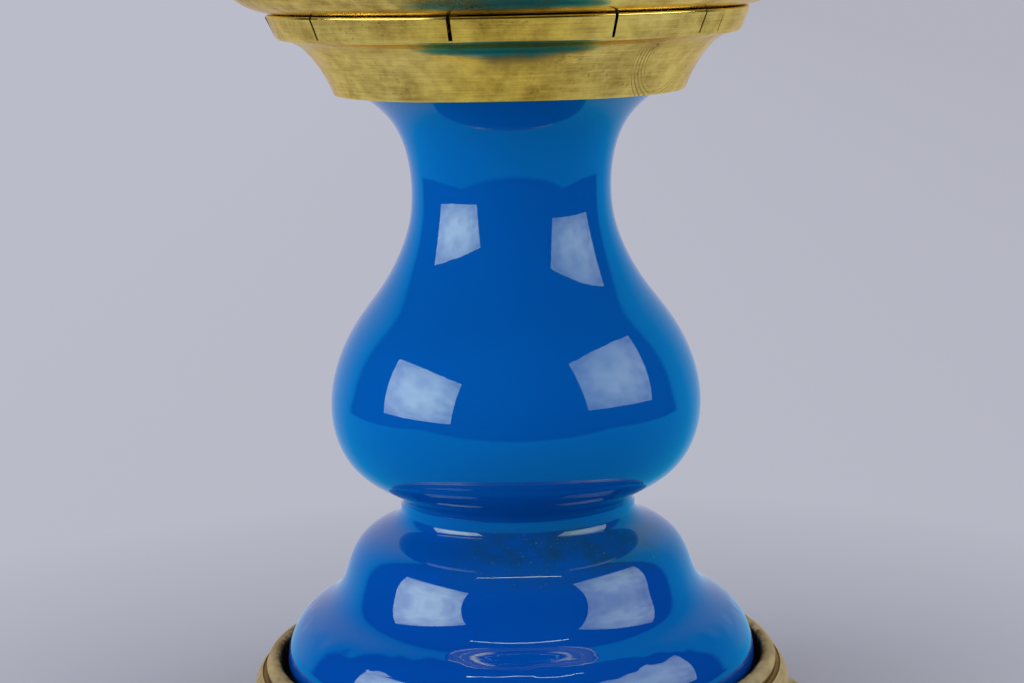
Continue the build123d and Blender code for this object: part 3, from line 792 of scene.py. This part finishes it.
class LampColours(bpy.types.PropertyGroup):
    """Colours of the glass, the dust on it and the brass."""
    # Painted shade: the deep blue is the glass darkened towards the foot, the light blue the glass
    # up the bulb, where more light falls.
    glass_shaded_foot: colour_setting("Deep blue", "0045A1", "Blue of the thicker glass")
    glass_lit_bulb: colour_setting("Light blue", "0055AB", "Blue of the thinner glass")
    # Dust at the waist, its colour darkened with painted shade for the turn of the crease.
    dust_and_shade: colour_setting("Dust", "16405C", "Old dust at the waist")
    brass_bright: colour_setting("Bright brass", "F8E27E", "Rubbed, polished brass")
    brass_dull: colour_setting("Dull brass", "AD9348", "Brass between two polishings")
    brass_stain: colour_setting("Stain", "5A3D18", "Brown tarnish")
    foot_bright: colour_setting("Foot brass", "D9C898", "High places of the cast foot")
    foot_dull: colour_setting("Foot patina", "958A6C", "Patina of the cast foot")


class LampSizes(bpy.types.PropertyGroup):
    """Sizes that change how the lamp is finished and not how it fits together."""
    glass_wave: number_setting("Glass wave", 0.0001, 0.0, 0.0005,
                               "How far the glass is out of round", "DISTANCE", "LENGTH")
    slit_width: number_setting("Slit width", 0.0008, 0.0, 0.0015,
                               "Widest slit in the sprung collar", "DISTANCE", "LENGTH")
    spring: number_setting("Finger spring", 0.00016, 0.0, 0.0004,
                           "How far the fingers are bent", "DISTANCE", "LENGTH")
    knob_notches: IntProperty(name="Knob notches", default=32, min=8, max=60,
                              description="Notches round the winding knob")


class StageLook(bpy.types.PropertyGroup):
    """Floor, lights and camera."""
    floor_colour: colour_setting("Floor", "BBBCC9", "Pale floor and background")
    light_power: number_setting("Softbox power", 5.1, 0.0, 200.0,
                                "Power of the left softbox, the brightest", "POWER", "POWER")
    fill: number_setting("Fill", 0.38, 0.0, 2.0, "Even light all round, where 1 is white")
    lens: number_setting("Lens", 77.3, 20.0, 200.0,
                         "Focal length in millimetres on a 36 mm sensor")
    pitch: number_setting("Pitch", radians(10.1), 0.0, 1.5, "How far the camera looks down",
                          "ANGLE", "ROTATION")
    roll: number_setting("Roll", radians(-1.2), -0.5, 0.5,
                         "Turn of the camera about its line of sight", "ANGLE", "ROTATION")


# ---- operators

class LAMP_OT_glass(bpy.types.Operator):
    """Blows the glass body"""
    bl_idname = "lamp.glass"
    bl_label = "Glass body"

    def execute(self, context):
        glass = opaline_glass(context.scene.lamp_colours)
        fitted(blown_glass(context.scene.lamp_sizes.glass_wave), "glass_body", glass)
        return {"FINISHED"}


class LAMP_OT_foot(bpy.types.Operator):
    """Casts the brass foot"""
    bl_idname = "lamp.foot"
    bl_label = "Foot"

    def execute(self, context):
        colours = context.scene.lamp_colours
        brass = turned_brass("cast_aged_brass", colours.foot_bright, colours.foot_dull,
                             colours.brass_stain, 0.7, 0.34, grime=(0.0572, 0.0552))
        fitted(cast_foot(), "foot_base", brass)
        return {"FINISHED"}


class LAMP_OT_felts(bpy.types.Operator):
    """Cuts the felt under the foot and the felt rings at both ends of the glass"""
    bl_idname = "lamp.felts"
    bl_label = "Felts"

    def execute(self, context):
        fitted(felt_piece("felt_disc", "felt_pad", 0, 0.7), "felt_pad",
               felt("green_baize", "3E5A45", "22352A"))
        grey = felt("grey_wool_felt", "6A655E", "403C38")
        fitted(felt_piece("foot_felt_ring", "foot_gasket", 46.5, 0.3), "foot_gasket", grey)
        fitted(felt_piece("rim_felt_ring", "rim_gasket", 33.8, 0.25), "rim_gasket", grey)
        return {"FINISHED"}


class LAMP_OT_collar(bpy.types.Operator):
    """Spins the collar and saws its band into spring fingers"""
    bl_idname = "lamp.collar"
    bl_label = "Collar"

    def execute(self, context):
        sizes = context.scene.lamp_sizes
        brass = spun_brass(context.scene.lamp_colours)
        fitted(sprung_collar(sizes.slit_width, sizes.spring), "font_collar", brass)
        return {"FINISHED"}


class LAMP_OT_font(bpy.types.Operator):
    """Spins the two halves of the oil font and fits its screwed ring"""
    bl_idname = "lamp.font"
    bl_label = "Font"

    def execute(self, context):
        brass = spun_brass(context.scene.lamp_colours)
        fitted(lower_font(), "font_bowl", brass)
        fitted(upper_font(), "font_dome", brass)
        fitted(font_ring(), "burner_ring", brass)
        return {"FINISHED"}


class LAMP_OT_burner(bpy.types.Operator):
    """Builds the burner: base, basket, tubes, gallery and winding key"""
    bl_idname = "lamp.burner"
    bl_label = "Burner"

    def execute(self, context):
        colours = context.scene.lamp_colours
        brass = turned_brass("pressed_burner_brass", colours.brass_bright, colours.brass_dull,
                             colours.brass_stain, 0.5, 0.27)
        fitted(screwed_base(), "burner_base", brass)
        fitted(chimney_crown(8), "gallery", brass)
        fitted(milled_knob(context.scene.lamp_sizes.knob_notches), "wick_knob", brass)
        finished(brass, "air_basket", "wick_tube", "air_tube", "spindle_bush", "spur_wheels")
        return {"FINISHED"}


class LAMP_OT_wick(bpy.types.Operator):
    """Curls the cotton wick"""
    bl_idname = "lamp.wick"
    bl_label = "Wick"

    def execute(self, context):
        radius, _, high = span("wick")
        fitted(curled_wick(), "wick", cotton(radius * MM, (high - 2.0) * MM))
        return {"FINISHED"}


class LAMP_OT_chimney(bpy.types.Operator):
    """Blows the chimney"""
    bl_idname = "lamp.chimney"
    bl_label = "Chimney"

    def execute(self, context):
        fitted(lamp_chimney(), "chimney", lamp_glass())
        return {"FINISHED"}


class LAMP_OT_fixings(bpy.types.Operator):
    """Finishes the rod, nuts, washers, spindle and ballast weight"""
    bl_idname = "lamp.fixings"
    bl_label = "Rod and fixings"

    def execute(self, context):
        finished(drawn_steel(), "tie_rod", "lower_nut", "upper_nut", "lower_washer",
                 "upper_washer", "wick_spindle")
        finished(cast_iron(), "ballast_weight")
        return {"FINISHED"}


# ---- stage

DARK_ROOM = (0.012, 0.012, 0.014, 1.0)
PALE_ROOM = (0.52, 0.52, 0.58, 1.0)           # the backdrop as brass mirrors it
PALE_TABLE = (0.46, 0.43, 0.29, 1.0)          # the table in front of the lamp, as brass does
PALE_BEHIND = (0.54, 0.57, 0.70, 1.0)         # the backdrop in glass, straight behind the lamp
PALE_ASIDE = (0.03, 0.63, 0.98, 1.0)          # and to the sides, where less red comes back
CAMERA_PLACE = (-0.0006, -0.484, 0.181)
LAMP_MIDDLE = Vector((0, 0, 0.095))           # the softboxes face this, from this far away
SOFTBOX_DISTANCE = 0.8
FLOOR_RADII = np.array([0.0, 200.0, 1000.0, 30000.0])    # in millimetres, as the gap is
FLOOR_GAP = 0.1                               # the floor lies this far under the felt
FLOOR_COLUMNS = 64


def mirrored_backdrop(add, axes, table=0.0):
    """What a mirror sees towards a direction or a place: the pale backdrop, which stands
    behind the lamp and ends 64 degrees to either side, the table, and a dark room in front.
    Sharp reflections, those in the glass, are cooler to the sides."""
    azimuth = add("ARCTAN2", [axes[0], axes[1]])
    aside = add("ABSOLUTE", [add("ADD", [azimuth, -0.06])])
    lit = add("MAXIMUM", [add("MapRange", [aside, 1.15, 1.08]), table])
    off_line = add("ABSOLUTE", [add("ADD", [azimuth, 0.05])])
    in_glass = add("Mix", [add("MapRange", [off_line, 0.95, 0.25]), PALE_ASIDE, PALE_BEHIND])
    in_brass = add("Mix", [add("MapRange", [aside, 1.7, 2.7]), PALE_ROOM, PALE_TABLE])
    pale = add("Mix", [add("LightPath", out="Is Singular Ray"), in_brass, in_glass])
    return add("Mix", [lit, DARK_ROOM, pale])


def ways(add):
    """1 in a mirror, and 1 to the camera or through clear glass."""
    path = add("LightPath").node.outputs
    clear = add("MAXIMUM", [path["Is Camera Ray"], path["Is Transmission Ray"]])
    return path["Is Glossy Ray"], clear


def paper(look):
    """Pale seamless paper. Near the lamp it is matt and lit, so that it keeps the shadow;
    further off the camera sees it evenly pale. In a mirror it ends in front and at both
    sides, where the dark room begins."""
    material, add, place = started("pale_paper")
    axes = add("SeparateXYZ", [place]).node.outputs
    flat = add("CombineXYZ", [axes[0], axes[1]])
    away = add("VectorMath LENGTH", [flat], out="Value")
    glossy, clear = ways(add)
    sides = add("MapRange", [add("ABSOLUTE", [axes[0]]), 0.62, 0.58])
    table = add("MULTIPLY", [add("MapRange", [axes[1], -0.4, -0.34]), sides])
    even = add("MULTIPLY", [add("MapRange", [away, 0.08, 0.24]), clear])
    # The lamps stand left of the middle, so the paper dims slowly to the right.
    right = add("MapRange", [axes[0], -0.3, 0.7, 1.0, 0.89])
    matt = add("BsdfDiffuse", {"Color": look.floor_colour})
    pale = add("Emission", {"Color": look.floor_colour, "Strength": right})
    mirrored = add("Emission", {"Color": mirrored_backdrop(add, axes, table), "Strength": 1.0})
    floor = add("MixShader", [even, matt, pale])
    reflected = add("SUBTRACT", [glossy, clear], use_clamp=True)
    seen = add("MixShader", [reflected, floor, mirrored])
    add("OutputMaterial", [seen])
    return material


def studio_world(look):
    """Even fill light. The camera and clear glass see the pale background, and so do mirrors
    that face it; elsewhere they see a dark room."""
    world = bpy.data.worlds.new("studio")
    add = emptied(world)
    axes = add("SeparateXYZ", [add("TexCoord", out="Generated")]).node.outputs
    glossy, clear = ways(add)
    other = add("Mix", [glossy, (0.98 * look.fill, look.fill, 1.06 * look.fill, 1),
                        mirrored_backdrop(add, axes)])
    seen = add("Mix", [clear, other, look.floor_colour])
    add("OutputWorld", [add("Background", {"Color": seen, "Strength": 1.0})])
    bpy.context.scene.world = world


def area_light(name, size, power):
    """Rectangular light, unseen by the camera and through clear glass, and its data."""
    data = bpy.data.lights.new(name, "AREA")
    data.shape, data.energy = "RECTANGLE", power
    data.size, data.size_y = size
    light = placed(name, data)
    light.visible_camera = light.visible_transmission = False
    return light, data


def softbox(name, azimuth, elevation, roll, size, power):
    """Softbox that faces the middle of the lamp, its angles in degrees and its azimuth counted
    from the front. Its cloth is brightest at the middle and dims unevenly to the frame."""
    azimuth, elevation = radians(azimuth), radians(elevation)
    toward = Vector((sin(azimuth) * cos(elevation), -cos(azimuth) * cos(elevation),
                     sin(elevation)))
    light, data = area_light(name, size, power)
    light.location = LAMP_MIDDLE + SOFTBOX_DISTANCE * toward
    light.rotation_euler = ((-toward).to_track_quat("-Z", "Y")
                            @ Quaternion((0, 0, 1), radians(roll))).to_euler()
    add = emptied(data)
    place = add("NewGeometry", out="Parametric")
    middle = add("VectorMath DISTANCE", [place, (0.5, 0.5, 0.0)], out="Value")
    folds = add("TexNoise", [place, 0, 5.0, 5.0])
    level = add("MULTIPLY_ADD", [folds, 1.1, add("MapRange", [middle, 0.05, 0.6, 0.85, 0.1])])
    add("OutputLight", [add("Emission", {"Strength": level})])


class LAMP_OT_stage(bpy.types.Operator):
    """Lays the floor, hangs the lights and sets the camera"""
    bl_idname = "lamp.stage"
    bl_label = "Stage"

    def execute(self, context):
        scene, look = context.scene, context.scene.lamp_stage
        radius = FLOOR_RADII[:, None]
        grid = lathe(radius, 0 * radius - FLOOR_GAP, all_round(FLOOR_COLUMNS))
        mesh = bpy.data.meshes.new("floor")
        mesh.from_pydata(grid.reshape(-1, 3), [], grid_faces(*grid.shape[:2], False))
        mesh.materials.append(paper(look))
        floor = placed("floor", mesh)
        studio_world(look)
        softbox("softbox_left", -63, 15.2, 0, (0.72, 0.46), look.light_power)
        softbox("softbox_right", 68.5, 23.4, -6, (0.72, 0.50), 0.62 * look.light_power)
        # A narrow tube light on the ceiling, in front of the lamp, shines straight down.
        strip, _ = area_light("ceiling_strip", (1.8, 0.05), 0.65 * look.light_power)
        strip.location = (-0.03, -0.85, 2.4)
        camera = placed("camera", bpy.data.cameras.new("camera"))
        camera.data.lens, camera.data.sensor_width = look.lens, 36.0
        camera.data.clip_start = 0.05
        camera.matrix_world = (Matrix.Translation(CAMERA_PLACE)
                               @ Matrix.Rotation(pi / 2 - look.pitch, 4, "X")
                               @ Matrix.Rotation(look.roll, 4, "Z"))
        scene.camera = camera
        scene.view_settings.view_transform = "Standard"
        return {"FINISHED"}


class LAMP_PT_panel(bpy.types.Panel):
    """Lists the lamp's pieces and settings"""
    bl_idname = "LAMP_PT_panel"
    bl_label = "Oil Lamp"
    bl_space_type = "VIEW_3D"
    bl_region_type = "UI"
    bl_category = "Oil Lamp"

    def draw(self, context):
        for operator in OPERATORS:
            self.layout.operator(operator.bl_idname)
        for group in (context.scene.lamp_colours, context.scene.lamp_sizes,
                      context.scene.lamp_stage):
            for name in group.__annotations__:
                self.layout.prop(group, name)


OPERATORS = (LAMP_OT_glass, LAMP_OT_foot, LAMP_OT_felts, LAMP_OT_collar, LAMP_OT_font,
             LAMP_OT_burner, LAMP_OT_wick, LAMP_OT_chimney, LAMP_OT_fixings, LAMP_OT_stage)
CLASSES = (LampColours, LampSizes, StageLook, *OPERATORS, LAMP_PT_panel)


def register():
    for cls in CLASSES:
        bpy.utils.register_class(cls)
    bpy.types.Scene.lamp_colours = PointerProperty(type=LampColours)
    bpy.types.Scene.lamp_sizes = PointerProperty(type=LampSizes)
    bpy.types.Scene.lamp_stage = PointerProperty(type=StageLook)


def unregister():
    del bpy.types.Scene.lamp_colours, bpy.types.Scene.lamp_sizes, bpy.types.Scene.lamp_stage
    for cls in reversed(CLASSES):
        bpy.utils.unregister_class(cls)


def main():
    register()
    bpy.ops.lamp.glass()
    bpy.ops.lamp.foot()
    bpy.ops.lamp.felts()
    bpy.ops.lamp.collar()
    bpy.ops.lamp.font()
    bpy.ops.lamp.burner()
    bpy.ops.lamp.wick()
    bpy.ops.lamp.chimney()
    bpy.ops.lamp.fixings()
    bpy.ops.lamp.stage()


if __name__ == "__main__":
    main()
